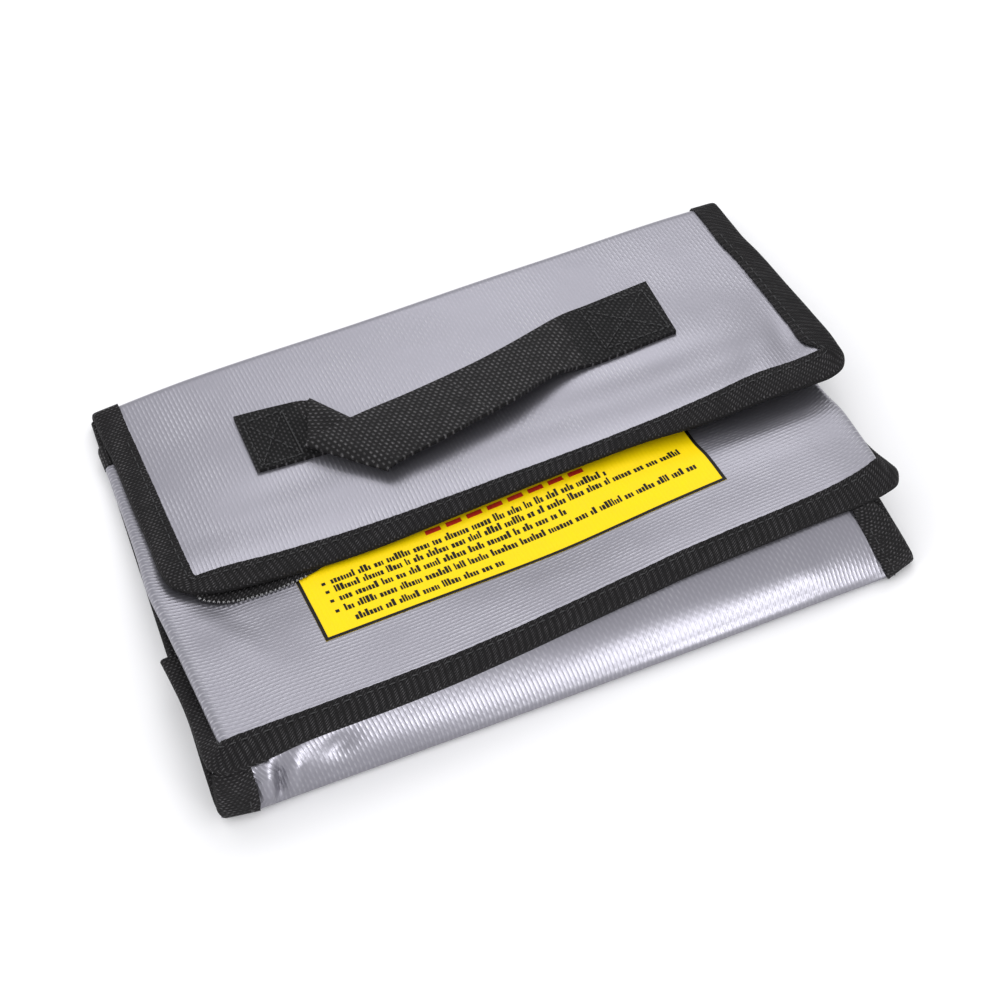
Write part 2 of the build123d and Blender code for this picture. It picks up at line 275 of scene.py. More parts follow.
# ---- materials
class Nodes:
    """Short way to build one node tree."""

    def __init__(self, name):
        self.material = bpy.data.materials.new(name)
        self.material.use_nodes = True
        self.tree = self.material.node_tree
        self.shader = self.tree.nodes["Principled BSDF"]
        uv = self.tree.nodes.new("ShaderNodeUVMap")
        uv.uv_map = "UVMap"
        split = self.tree.nodes.new("ShaderNodeSeparateXYZ")
        self.tree.links.new(uv.outputs[0], split.inputs[0])
        self.uv, self.u, self.v = uv.outputs[0], split.outputs[0], split.outputs[1]

    def put(self, socket, value):
        if isinstance(value, bpy.types.NodeSocket):
            self.tree.links.new(value, socket)
        else:
            socket.default_value = value

    def math(self, operation, a, b=0.0, c=0.0):
        node = self.tree.nodes.new("ShaderNodeMath")
        node.operation = operation
        for socket, value in zip(node.inputs, (a, b, c)):
            self.put(socket, value)
        return node.outputs[0]

    def times(self, a, b):
        return self.math("MULTIPLY", a, b)

    def wave(self, coordinate, pitch):
        angle = self.math("MULTIPLY_ADD", coordinate, math.tau / pitch, 0.0)
        return self.math("MULTIPLY_ADD", self.math("SINE", angle), 0.5, 0.5)

    def noise(self, scale, detail=2.0, stretch=(1, 1, 1)):
        mapping = self.tree.nodes.new("ShaderNodeMapping")
        self.put(mapping.inputs[0], self.uv)
        mapping.inputs["Scale"].default_value = stretch
        node = self.tree.nodes.new("ShaderNodeTexNoise")
        self.put(node.inputs["Vector"], mapping.outputs[0])
        node.inputs["Scale"].default_value = scale
        node.inputs["Detail"].default_value = detail
        return node.outputs[0]

    def ramp(self, value, *stops):
        node = self.tree.nodes.new("ShaderNodeValToRGB")
        elements = node.color_ramp.elements
        while len(elements) < len(stops):
            elements.new(0.5)
        for element, (position, colour) in zip(elements, stops):
            element.position = position
            element.color = (*colour, 1)
        self.put(node.inputs[0], value)
        return node.outputs[0]

    def span(self, value, low_in, high_in, low_out, high_out):
        node = self.tree.nodes.new("ShaderNodeMapRange")
        for socket, number in zip(node.inputs, (value, low_in, high_in, low_out, high_out)):
            self.put(socket, number)
        return node.outputs[0]

    def bump(self, height, distance, strength=1.0, normal=None):
        node = self.tree.nodes.new("ShaderNodeBump")
        node.inputs["Strength"].default_value = strength
        node.inputs["Distance"].default_value = distance * MM
        self.put(node.inputs["Height"], height)
        if normal is not None:
            self.put(node.inputs["Normal"], normal)
        return node.outputs[0]

    def finish(self, normal, **sockets):
        for key, value in sockets.items():
            self.put(self.shader.inputs[key.replace("_", " ")], value)
        self.put(self.shader.inputs["Normal"], normal)
        return self.material


def coated_cloth(name, turned=False, least=0.14):
    """Silver coated glass cloth: a ribbed, broken weave under a metallic coat, with glints painted
    lighter on its thread crowns.

    turned: the ribs run across the bag; least: how strongly they show where they show least.
    """
    n = Nodes(name)
    a, b = (n.u, n.v) if turned else (n.v, n.u)
    rib = n.wave(b, THREAD_PITCH)
    row = n.math("FLOOR", n.math("DIVIDE", b, THREAD_PITCH))
    dash_length = 2.6
    offset = n.times(n.math("MODULO", row, 2.0), dash_length / 2)
    dash = n.math("POWER", n.wave(n.math("ADD", a, offset), dash_length), 0.6)
    patchy = n.noise(0.05, 3.0)
    strength = n.span(patchy, 0.34, 0.66, least, 0.9)
    weave = n.times(n.math("POWER", rib, 2.0), n.math("MULTIPLY_ADD", dash, 0.75, 0.25))
    if turned:          # the weave's bump and its painted glints show more where the sides roll over
        edge = n.span(n.math("ABSOLUTE", n.u), 97.0, 102.0, 0.0, 1.3)
        strength = n.math("MAXIMUM", strength, edge)
    weave = n.times(weave, strength)
    grain = n.noise(2.4, 4.0)
    soft = n.bump(n.noise(0.07, 2.0), 0.3, 0.3)
    fabric = n.bump(weave, 0.085, 0.9, soft)
    surface = n.bump(grain, 0.02, 0.5, fabric)
    # Painted glints: the colour is lighter where the weave's threads crown; the patchy share is
    # tone that differs at random.
    glint_and_mottle = n.math("ADD", n.times(weave, 0.45), n.times(patchy, 0.22))
    colour = n.ramp(glint_and_mottle, (0.1, (0.248, 0.243, 0.276)), (0.36, (0.290, 0.285, 0.320)),
                    (0.75, (0.45, 0.45, 0.485)))
    rough = n.span(grain, 0.3, 0.7, 0.32, 0.40)
    return n.finish(surface, Base_Color=colour, Metallic=0.78, Roughness=rough,
                    Specular_IOR_Level=0.5)


def woven_black(name, dark, light, pitch, glint, fuzz=0.3):
    """Black woven polypropylene: crossed ribs, with glints painted on the threads in a lighter
    colour, stronger in patches.
    """
    n = Nodes(name)
    along_rib = n.wave(n.v, pitch)
    row = n.math("FLOOR", n.math("DIVIDE", n.v, pitch))
    shifted = n.math("ADD", n.u, n.times(n.math("MODULO", row, 2.0), pitch * 0.75))
    across_rib = n.wave(shifted, pitch * 1.5)
    weave = n.times(n.math("POWER", along_rib, 1.3), n.math("POWER", across_rib, 0.9))
    fibre = n.noise(2.6, 4.0, (1, 2.2, 1))
    glint_patches = n.noise(0.22, 3.0)
    height = n.math("ADD", weave, n.times(fibre, fuzz))
    normal = n.bump(height, 0.40, 1.0)
    # Painted glints: the threads are coloured lighter where their crowns would catch the light,
    # more in some patches than in others.
    painted_glint = n.times(n.math("POWER", weave, 1.3), n.span(glint_patches, 0.32, 0.68, 0.35, 1.0))
    painted_glint = n.times(painted_glint, n.span(fibre, 0.40, 0.62, 0.35, 1.25))
    between = tuple(0.6 * p + 0.4 * q for p, q in zip(dark, light))
    colour = n.ramp(painted_glint, (0.04, dark), (0.35, between), (0.8, light))
    return n.finish(normal, Base_Color=colour, Roughness=n.span(painted_glint, 0, 1, 0.7, glint),
                    Specular_IOR_Level=0.22)


def plain_weave(name, dark, light, pitch, rough):
    n = Nodes(name)
    weave = n.times(n.wave(n.u, pitch), n.wave(n.v, pitch))
    mottled = n.noise(0.4, 3.0)
    colour = n.ramp(n.math("MULTIPLY_ADD", weave, 0.4, n.times(mottled, 0.6)),
                    (0.2, dark), (0.8, light))
    return n.finish(n.bump(weave, 0.1), Base_Color=colour,
                    Roughness=n.span(mottled, 0.3, 0.7, rough - 0.06, rough + 0.06))


def pile(name, dark, light):
    """Hook or loop fastener."""
    n = Nodes(name)
    tufts = n.noise(1.5, 4.0)
    colour = n.ramp(tufts, (0.35, dark), (0.68, light))
    return n.finish(n.bump(tufts, 0.5), Base_Color=colour, Roughness=0.85, Sheen_Weight=0.3)


def thread_finish(name, dark, light):
    n = Nodes(name)
    twist = n.wave(n.math("ADD", n.u, n.times(n.v, 0.12)), 0.55)
    colour = n.ramp(twist, (0.1, dark), (0.9, light))
    return n.finish(n.bump(twist, 0.06), Base_Color=colour, Roughness=0.4)


def printed_ink(name, colour, wear):
    """Screen print on the coated cloth, with the weave's ribs faintly showing."""
    n = Nodes(name)
    ribs = n.wave(n.u, THREAD_PITCH)
    mottled = n.noise(0.25, 3.0)
    mix = n.math("ADD", n.times(mottled, 0.7), n.times(ribs, 0.15))
    tone = n.ramp(mix, (0.2, tuple(c * (1 - wear) for c in colour)), (0.75, colour))
    return n.finish(n.bump(n.math("ADD", ribs, mottled), 0.05, 0.6), Base_Color=tone,
                    Roughness=n.span(mottled, 0.3, 0.7, 0.42, 0.54), Specular_IOR_Level=0.15)


SILVER = coated_cloth("coated_cloth_lengthwise")
SILVER_BODY = coated_cloth("coated_cloth_body", least=0.5)
SILVER_FRONT = coated_cloth("coated_cloth_crosswise", turned=True, least=0.25)
# The light colour of each black weave is its painted glint.
BINDING = woven_black("binding_weave", (0.0035, 0.003, 0.0035), (0.105, 0.10, 0.105), 1.0, 0.38)
STRAP = woven_black("strap_weave", (0.004, 0.0035, 0.004), (0.13, 0.126, 0.13), 1.4, 0.40)
SEWN_STRAP = woven_black("sewn_strap_weave", (0.003, 0.003, 0.0035), (0.085, 0.083, 0.086),
                         1.2, 0.45, fuzz=1.6)
INNER = plain_weave("inner_weave", (0.30, 0.30, 0.31), (0.42, 0.42, 0.43), 0.7, 0.7)
HOOK = pile("hook_pile", (0.006, 0.006, 0.006), (0.03, 0.03, 0.032))
LOOP = pile("loop_pile", (0.008, 0.008, 0.009), (0.045, 0.045, 0.048))
THREAD = thread_finish("dark_thread", (0.006, 0.006, 0.007), (0.03, 0.03, 0.032))
# The shiny thread's light colour is painted shine: its bright twist stripes stand in for
# highlights.
BEAD = thread_finish("shiny_thread", (0.03, 0.03, 0.032), (0.36, 0.36, 0.365))
YELLOW = printed_ink("notice_yellow", (0.97, 0.70, 0.0), 0.08)
BLACK_INK = printed_ink("notice_black", (0.006, 0.005, 0.004), 0.3)
RED_INK = printed_ink("notice_red", (0.50, 0.025, 0.012), 0.25)


# ---- the bag's shape: plan outlines and heights
FLAP_LEFT, FLAP_RIGHT = sides_of("flap_binding_left")[0], sides_of("flap_binding_right")[1]

flap_plane = heights(
    (-104, -90, -75, -43, 0, 41, 63, 84, 98, 110),
    ym15=(14.5, 13.4, 12.4, 12.1, 12.6, 14, 15.3, 17, 18.1, 18.9),
    ym6=(14.9, 14, 13.2, 12.6, 12.9, 14.2, 15.3, 16.6, 17.6, 18.5),
    y8=(12.8, 12.4, 12, 11.5, 11.6, 12.6, 13.3, 14.2, 15.2, 16.4),
    y30=(9.8, 9.8, 9.7, 9.5, 9.6, 10.1, 10.5, 11, 11.6, 12.6),
    y50=(7.4, 7.5, 7.6, 7.7, 7.9, 8.2, 8.4, 8.6, 8.9, 9.4),
    y78=(4.9, 5.2, 5.3, 5.4, 5.6, 5.9, 6, 6.1, 6.2, 6.3))
front_edge_y = through((-104, -8.5), (-100, -11.2), (-96, -12.6), (-91, -13.8), (-75, -15.2),
                       (-43, -15.5), (0, -12.9), (41, -11.5), (63, -13.2), (84, -13.5),
                       (98, -13.9), (104, -13.6), (108, -11.5), (110, -7))
flap_left_x = through((-14, -102.6), (-4, -103.4), (32, -103.7), (75, -104.6))
flap_right_x = through((-14, 109.3), (-5, 110.6), (16, 111.6), (44, 111.7), (77, 110.4))
crest_y = through((-105, 67.4), (-75, 69.9), (-13, 72.2), (47, 74.2), (90, 75.6), (111, 75.2))
FOLD_BASE = 0.35          # middle of the cloth where it lies on the surface


def flap_height(x, y):
    """Middle of the flap's cloth, with the small dents its sewn straps pull into it."""
    z = flap_plane(x, y)
    z = z + 0.22 * wander(x, y, 60, 3)
    z = z + 0.9 * bump(x, 88 + (y - 10) * 0.35, 7) * bump(y, 4, 17)
    z = z - 0.8 * bump(x, 99 + (y - 10) * 0.2, 5) * bump(y, 6, 15)
    z = z - 0.5 * bump(x, 52, 26) * bump(y, 18, 6)
    return z - 0.4 * bump(x, -56, 16) * bump(y, 17, 6)


over_flap = over(flap_height)


def flap_column(x, front_y, rows, arc_rows=12):
    """Line on the flap at one x, from its front edge over the fold at the back."""
    crest = float(crest_y(x))
    y = np.linspace(front_y, crest, rows)
    top = flap_height(np.full(rows, x), y)
    radius = (top[-1] - FOLD_BASE) / 2
    angle = np.linspace(0, math.pi, arc_rows + 1)[1:]
    arc_y = crest + radius * np.sin(angle)
    arc_z = top[-1] - radius + radius * np.cos(angle)
    return np.concatenate([np.stack([y, top], 1), np.stack([arc_y, arc_z], 1)])


def flap_grid(inset_side, inset_front, rows=120, cols=230):
    lines = []
    for share in np.linspace(0, 1, cols):
        x_mid = FLAP_LEFT + (FLAP_RIGHT - FLAP_LEFT) * share
        profile = flap_column(x_mid, float(front_edge_y(x_mid)) + inset_front, rows)
        left = flap_left_x(profile[:, 0]) + inset_side
        right = flap_right_x(profile[:, 0]) - inset_side
        lines.append(np.stack([left + (right - left) * share, profile[:, 0], profile[:, 1]], 1))
    return np.stack(lines, axis=1)


# Front panel, from under the flap to the seam that the bottom panel is sewn to.
front_plane = heights(
    (-108, -92, -75, -40, 0, 40, 62, 84, 101),
    ym66=(22.6, 21.9, 21.3, 20.9, 21.2, 22, 22.4, 22.6, 22),
    ym50=(20.2, 19.2, 18.4, 17.4, 16.9, 18.6, 19.3, 19.6, 19),
    ym35=(17.6, 16.5, 15.4, 14, 12.5, 15, 16, 16.8, 16.4),
    ym24=(15.6, 13.6, 12.5, 11.6, 10.7, 13, 14.3, 15.1, 14.9),
    ym15=(14, 11.4, 10.4, 10.1, 10.3, 10.8, 11.2, 11.6, 12.6),
    y0=(11.6, 10.6, 9.9, 9.2, 9.2, 9.3, 9.5, 9.8, 10.8),
    y30=(7.5, 7.3, 7.2, 7.1, 7.2, 7.4, 7.7, 7.9, 7.9),
    y50=(5.2, 5.4, 5.4, 5.4, 5.4, 5.5, 5.6, 5.8, 5.8),
    y66=(4.2, 4.2, 4.2, 4.2, 4.2, 4.3, 4.4, 4.5, 4.5))
seam_y = through((-108, -65.8), (-88, -65.2), (-72, -64.7), (-41, -63.4), (18, -57.2), (37, -55.3),
                 (62, -53.7), (81, -52), (95, -48.9), (102, -46.5))
fin_y = through((-110, -73), (-100, -74.2), (-85, -72.8), (-64, -72.1), (-44, -71), (15, -64.8),
                (33, -62.9), (58, -61.3), (77, -60.2), (92, -59.2), (102, -55.6))
fin_z = through((-110, 20), (-85, 20), (-64, 19.5), (-44, 19), (15, 18.5), (77, 18),
                (102, 17.4))
front_left_x = through((-66, -105.8), (-50, -106.3), (-35, -106.8), (-20, -107.4), (-5, -108.2),
                       (10, -107.2), (24, -106.6), (48, -106), (66, -105.6))
front_right_x = through((-66, 99.5), (-50, 99.4), (-42, 100.2), (-32, 101), (-21, 101.4),
                        (-11, 101.2), (20, 102.5), (66, 106))
mouth_y = through((-106, 57), (0, 60), (106, 63))


def front_height(x, y):
    z = front_plane(x, y) + 0.2 * wander(x, y, 55, 11)
    z = z + 0.7 * bump(x + 0.5 * (y + 20), -98, 6) * bump(y, -20, 16)
    return z - 0.6 * bump(x + 0.4 * (y + 24), -88, 6) * bump(y, -26, 16)


over_front = over(front_height)
ROLL = 1.6               # radius of the front panel's rolled side folds
TUCK = 9.0               # how far its cloth shows underneath


def front_grid(rows=110, cols=170, fin_rows=10):
    """Front panel with its rolled sides, its fin at the seam last."""
    shares = np.linspace(0, 1, cols)
    middle_x = -106.0 + 207.0 * shares
    start, seam, fin = mouth_y(middle_x), seam_y(middle_x), fin_y(middle_x) + 0.8
    turn = np.linspace(0, math.pi, 11)[1:]
    lines = []
    for k in range(rows + fin_rows):
        along_fin = (k - rows + 1) / fin_rows
        if k < rows:
            y = start + (seam - start) * k / (rows - 1)
        else:
            y = seam + (fin - seam) * along_fin
        left, right = front_left_x(y) + ROLL, front_right_x(y) - ROLL
        x = left + (right - left) * shares
        z = front_height(x, y)
        if k >= rows:
            at_seam = front_height(x, seam_y(x))
            z = at_seam + (fin_z(x) - at_seam) * along_fin
        flat = np.stack([x, y, z], axis=1)
        sides = []
        for end, sign in ((0, -1), (-1, 1)):
            roll = [flat[end] + (sign * ROLL * math.sin(a), 0, ROLL * (math.cos(a) - 1))
                    for a in turn]
            roll += [flat[end] + (-sign * step, 0, -2 * ROLL - 0.03 * step)
                     for step in (2.0, 4.5, TUCK)]
            sides.append(roll)
        lines.append(np.array(sides[0][::-1] + list(flat) + sides[1]))
    return np.stack(lines[::-1], axis=0)


# Back panel and bottom panel are one strip, from the fold at the mouth to the bottom seam.
base_left_x = through((-76, -110.4), (-60, -109.9), (-21, -108.4), (0, -107.4), (68, -104.6))
base_right_x = through((-76, 98.8), (-60, 100.6), (0, 103.8), (70, 107.6))
BODY_ROWS = (
    # Each row's (x, y, z) across the strip: first those that lie on the table.
    ((-104.4, 68.6, 1), (-94, 70, 0.36), (0, 74, 0.36), (98, 76.8, 0.36), (107.4, 76, 1)),
    ((-105.6, 40, 1), (-95.5, 40, 0.36), (0, 40, 0.36), (97, 40, 0.36), (106.2, 40, 1)),
    ((-107.4, 0, 1), (-97.5, 0, 0.36), (0, 0, 0.36), (94, 0, 0.36), (103.8, 0, 1)),
    ((-109, -40, 1), (-99.4, -40, 0.36), (0, -40, 0.36), (92, -40, 0.36), (101.6, -40, 1)),
    ((-110.2, -66, 1), (-100.5, -66, 0.4), (0, -66, 0.4), (90.4, -66, 0.4), (100.3, -65, 1)),
    ((-110.4, -72.2, 1), (-100.6, -73.4, 0.5), (0, -73.4, 0.5), (89.9, -73, 0.5),
     (99.5, -70.4, 1.1)),
    ((-110.6, -74.8, 2), (-100.6, -75.9, 1.3), (-40, -76, 1.3), (20, -75.6, 1.3),
     (70, -74.9, 1.3), (89.4, -74.7, 1.3), (98.8, -72.4, 1.9)),
    ((-110.8, -75.4, 3), (-100.5, -76, 3), (-40, -76, 3), (20, -75.8, 3),
     (70, -75, 3), (88.9, -73.9, 3), (98.3, -71.6, 3.2)),
    ((-110.8, -75.2, 5), (-100.3, -75.6, 5), (-40, -75, 5.5), (20, -74.4, 5.9),
     (70, -73.3, 6.1), (88, -72.4, 5.4), (97.6, -70, 5)),
    ((-110.7, -74.8, 8), (-100.2, -74.9, 8), (-40, -73.3, 8.8), (20, -71.9, 9.5),
     (70, -70.5, 10), (86.6, -69.3, 9), (96, -67, 8.6)),
    ((-110.6, -74, 13), (-100.2, -73.6, 12.5), (-40, -70.1, 13.2), (20, -67.2, 14),
     (70, -65.1, 14.3), (85.4, -64.4, 13.2), (93.6, -62.8, 12.8)),
    ((-110.3, -72.2, 17), (-100.4, -71, 17), (-40, -66.7, 16.6), (20, -62.2, 16.8),
     (70, -59.3, 16.7), (84.6, -59.4, 16), (91.2, -59, 15.8)),
    ((-109.8, -70.2, 18.7), (-100.4, -68.4, 18.5), (-40, -65.2, 17.8), (20, -60, 17.6),
     (70, -56.8, 17.3), (84.2, -56, 16.8), (90.4, -55.6, 16.6)),
)
# Shares of the strip's length at which its rows lie, closest together on the bottom panel.
BODY_SHARES = np.concatenate([np.linspace(0, 0.82, 45, endpoint=False),
                              np.linspace(0.82, 1, 85)])


def body_grid(cols=300):
    lines = np.stack([along(row, cols, monotone=True) for row in BODY_ROWS])
    columns = [along(lines[:, k], BODY_SHARES) for k in range(cols)]
    grid = np.stack(columns, axis=1)
    x, z = grid[..., 0], grid[..., 2]
    standing = np.clip((z - 1.5) / 4, 0, 1) * np.clip((16.5 - z) / 5, 0, 1)
    push = 1.5 * bump(x - 0.1 * (z - 9), -97, 2.4) - 1.7 * bump(x - 0.15 * (z - 9), -93.4, 1.7)
    push += 1.2 * bump(x - 0.2 * (z - 9), -89.5, 2.8)
    push -= 1.4 * bump(x - 0.3 * (z - 12), -76, 4.5) * bump(z, 14, 4)
    push += 0.3 * bump(x + 0.8 * (z - 9), 66, 6) + 0.2 * wander(x, z * 2, 42, 21)
    grid = grid + grid_normals(grid) * (push * standing)[..., None]
    grid[..., 2] = np.maximum(grid[..., 2], CLOTH / 2 + ON_TABLE)
    return grid


# ---- cloth pieces
def finished(obj, finish_slot, nodes):
    if nodes:
        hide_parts(*nodes)
    return obj


def on_body(obj, body, finish_slot, *nodes):
    """Piece that moves with one body."""
    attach(obj, body)
    return finished(obj, finish_slot, nodes)


def across(obj, first, second, start, end, finish_slot, *nodes):
    """Piece kept fixed where it is made, with its transform baked into the mesh; it is not bent
    between the two bodies.
    """
    [c * MM for c in start]
    [c * MM for c in end]
    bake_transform(obj)
    return finished(obj, finish_slot, nodes)


# The flap bends across the far fold.
HINGE_START, HINGE_END = (0.0, 73.3, 0.5), (0.05, 71.8, 6.0)
# The bottom panel's upper edge is sewn to the front panel.
SEAM_START, SEAM_END = (0.0, -70.0, 7.5), (0.0, -70.0, 15.5)

flap_cloth = solid_sheet("flap_cloth", flap_grid(0.9, 0.9), CLOTH, SILVER)
across(flap_cloth, "bag", "flap", HINGE_START, HINGE_END, "coated_cloth",
       "flap_panel", "mouth_fold_band")

body = body_grid()
body_cloth = solid_sheet("body_cloth", body[::-1], CLOTH, SILVER_BODY)
across(body_cloth, "bag", "front", SEAM_START, SEAM_END, "coated_cloth",
       "back_panel", "bottom_panel")

front_cloth = solid_sheet("front_cloth", front_grid(), CLOTH, SILVER_FRONT)
on_body(front_cloth, "front", "coated_cloth", "front_panel")


def gusset_grid(side, rows=60, cols=46):
    """Side wall folded inwards, from the seam on the surface up to the front panel's side."""
    if side == "left":
        sign, edge_x, root_x, near_y, pull = 1, front_left_x, base_left_x, -66.0, 1.0
    else:
        sign, edge_x, root_x, near_y, pull = -1, front_right_x, base_right_x, -50.0, 0.6
    crease = 17.0           # depth of the fold
    low = 1.9               # height of the lower half
    lines = []
    for t in np.linspace(0, 1, rows):
        y = near_y + (52.0 - near_y) * t
        fold_x = float(edge_x(y)) + sign * ROLL
        root = float(root_x(y)) + sign * 1.2
        top = float(front_height(fold_x, y)) - 2 * ROLL - 0.9
        rise = top - low
        lean = -6.0 * (1 - t) ** 3 * pull
        points = ((root, y + lean, 1.5), (root + sign * 9, y + lean, 1.6),
                  (root + sign * crease, y + lean * 0.6, low + rise * 0.30),
                  (root + sign * (crease + 1.2), y + lean * 0.5, low + rise * 0.42),
                  (root + sign * crease, y + lean * 0.4, low + rise * 0.55),
                  (fold_x + sign * 7, y, top - 0.08 * rise), (fold_x + sign * 1.0, y, top))
        lines.append(along(points, cols))
    return np.stack(lines)


GUSSET_SLOPE = 0.137       # of the plane between the halves of a gusset
for side, crease_z in (("left", 13.6), ("right", 12.0)):
    gusset = solid_sheet(side + "_gusset", gusset_grid(side), CLOTH, SILVER_FRONT)
    normal = np.array([0, GUSSET_SLOPE, 1.0])
    foot = np.array([0, 0, crease_z])
    across(gusset, "bag", "front", foot - normal * 4.6, foot - normal * 2.6, "coated_cloth",
           side + "_gusset_lower", side + "_gusset_upper")


# ---- linings
def plan_patch(surface, x_range, near_y, far_y, lift, rows, cols):
    """Grid that follows a surface between two lines across it."""
    x = np.linspace(x_range[0], x_range[1], cols)
    share = np.linspace(0, 1, rows)[:, None]
    y = near_y(x) + (far_y(x) - near_y(x)) * share
    points, _ = surface(np.broadcast_to(x, y.shape), y, lift)
    return points


def offset(line, distance):
    return lambda x: line(x) + distance


lining_gap = (CLOTH + LINING) / 2
flap_lining = solid_sheet("flap_inner_cloth", plan_patch(
    over_flap, (-100.5, 107.5), offset(front_edge_y, 3.5), offset(crest_y, -1.0), -lining_gap,
    60, 90), LINING, INNER)
on_body(flap_lining, "flap", "inner_cloth", "flap_lining")
front_lining = solid_sheet("front_inner_cloth", plan_patch(
    over_front, (-95.0, 90.0), offset(seam_y, 2.0), offset(mouth_y, -9.5), -lining_gap,
    60, 90), LINING, INNER)
on_body(front_lining, "front", "inner_cloth", "front_lining")


def flat_patch(x_range, y_range, z, rows, cols):
    x, y = np.meshgrid(np.linspace(*x_range, cols), np.linspace(*y_range, rows))
    return np.stack([x, y, z + 0.04 * wander(x, y, 40, 5)], axis=-1)


BACK_INSIDE = FOLD_BASE + lining_gap + 0.08
back_lining = solid_sheet("back_inner_cloth", flat_patch((-95.0, 88.0), (-70.0, 66.0), BACK_INSIDE,
                                                    50, 60), LINING, INNER)
on_body(back_lining, "bag", "inner_cloth", "back_lining")
bottom_rows = body[75:121:2, 34:268:4]       # the part that is the bottom panel
inside = bottom_rows - grid_normals(bottom_rows) * (lining_gap + 0.05)
bottom_lining = solid_sheet("bottom_inner_cloth", inside, LINING, INNER)
across(bottom_lining, "bag", "front", SEAM_START, SEAM_END, "inner_cloth", "bottom_lining")


# ---- bindings
def flap_edge_lines():
    """Fold line and inner line of the flap's binding: left side, front, right side."""
    outer_plan = [(-103.75, 50), (-103.7, 30), (-103.5, 10), (-103.4, -3.5), (-102.6, -7.6),
                  (-100.2, -10.4), (-96.8, -12.6), (-91.9, -13.9), (-75, -15.3), (-43, -15.6),
                  (-20, -14.2), (0, -13), (20, -12), (41, -11.6), (63, -13.3), (84, -13.6),
                  (97.4, -14), (102.8, -13.9), (107.4, -12), (110, -8.2), (110.9, -2),
                  (111.6, 14), (111.8, 30), (111.6, 50)]
    inner_plan = [(-95.9, 50), (-95.7, 30), (-95.6, 10), (-95.4, -3), (-95.3, -6.6),
                  (-95.1, -7.3), (-94.4, -7.5), (-89.5, -7.2), (-73, -7.6), (-43, -8),
                  (-20, -7.8), (0, -7.3), (20, -6.8), (43, -5.9), (63, -4.8), (84, -3.5),
                  (97.5, -3.2), (103.2, -3.2), (105.3, -3), (105.2, -2.2), (102.8, 1.5),
                  (103, 14), (103.4, 30), (103.4, 50)]
    outer = [over_flap(x, y)[0] for x, y in outer_plan]
    inner = [over_flap(x, y)[0] for x, y in inner_plan]

    def far_end(x):
        return [np.array([x, y, z]) for y, z in flap_column(x, 58.0, 4, 8)]

    return (np.array(far_end(-104.3)[::-1] + outer + far_end(110.9)),
            np.array(far_end(-96.0)[::-1] + inner + far_end(102.8)))


def paired(outer, inner, count):
    """Both lines at the same shares of the outer one's length."""
    outer, inner = np.asarray(outer, float), np.asarray(inner, float)
    chord = distances(outer)
    at = np.linspace(0, chord[-1], count)
    result = []
    for line in (outer, inner):
        result.append(np.stack([
            blend_rows(chord, np.repeat(line[:, k:k + 1], count, axis=1), at, monotone=False)
            for k in range(3)], axis=1))
    return result


FLAP_STACK = CLOTH / 2 + LINING / 2       # half of the flap's cloth and lining
SEAM_STACK = CLOTH / 2 + TAPE + 0.12      # from the middle of the cloth to its seam's threads
flap_pair = paired(*flap_edge_lines(), 1250)
flap_binding = folded_tape("flap_binding", *flap_pair, FLAP_STACK, BINDING)
across(flap_binding, "bag", "flap", HINGE_START, HINGE_END, "binding_tape",
       "flap_binding_left", "flap_binding_right", "flap_binding_front")

# The binding's lower leg is wider and shows below the flap's left front corner.
lip_outer = [(-97.5, -11.5, 14), (-95.7, -13.9, 13.3), (-91, -16.5, 12.4), (-84, -17.8, 11.7),
             (-77, -18, 11.4), (-70.3, -17.4, 11.3), (-63, -16.2, 11.3), (-57.4, -14.6, 11.4),
             (-50, -13, 11.5)]
lip_inner = [(-91.5, -5.5, 12.9), (-90, -7, 12.5), (-87, -8.5, 12), (-82, -9.5, 11.6),
             (-76, -9.8, 11.2), (-70.3, -9.2, 11.1), (-63, -8.2, 11.1), (-57.4, -6.6, 11.1),
             (-50, -5, 11.2)]
outer, inner = paired(lip_outer, lip_inner, 190)
flap_lip = folded_tape("flap_binding_lip", outer, inner, CLEAR, BINDING)
on_body(flap_lip, "flap", "binding_tape")

bead_line = outer[8:132]
bead_normal = np.tile([0.0, -0.35, 0.94], (len(bead_line), 1))
lip_beads = stitches("flap_lip_beads", bead_line + bead_normal * 0.35, bead_normal, BEAD,
                     length=0.95, gap=0.4, radius=0.32)
on_body(lip_beads, "flap", "sewing_thread")

# Bottom seam: the tape runs round the front panel's near corners and ends along its sides.
seam_outer = [(-111.8, -27.5, 10), (-111.2, -36, 11.3), (-110.8, -44.5, 13),
              (-110.9, -54, 15.4), (-111.1, -61, 17.3), (-111.2, -67.5, 19.2),
              (-110.4, -71.6, 20), (-107.6, -73.8, 20.2), (-103, -74.4, 20.1)]
seam_inner = [(-103.8, -27.5, 10.4), (-103.4, -36, 11.7), (-103.2, -44.5, 13.5),
              (-103.4, -54, 16), (-103.8, -60, 18.2), (-104.4, -63.8, 20.2),
              (-104.9, -65.4, 21.3), (-104.7, -65.8, 21.9), (-101.8, -65.5, 22)]
for x in (-96, -85, -75, -64, -44, -22, 0, 15, 33, 45, 58, 77, 88):
    seam_outer.append((x, float(fin_y(x)), float(fin_z(x))))
    y = seam_y(x + 0.6)
    seam_inner.append((x + 0.6, float(y), float(front_height(x + 0.6, y))))
seam_outer += [(96, -58.4, 17.5), (100.8, -56.6, 17.2), (103, -53.2, 16.6), (103.6, -48, 15),
               (103.2, -42, 13.2), (102.9, -34, 11.2), (102.6, -27, 9.6)]
seam_inner += [(93, -49.5, 19.6), (96.6, -48.2, 19.5), (98.9, -47.2, 18.9), (98.8, -46, 16),
               (97.2, -41, 13.6), (96.2, -33, 11.4), (95.4, -27, 9.8)]
seam_pair = paired(seam_outer, seam_inner, 900)
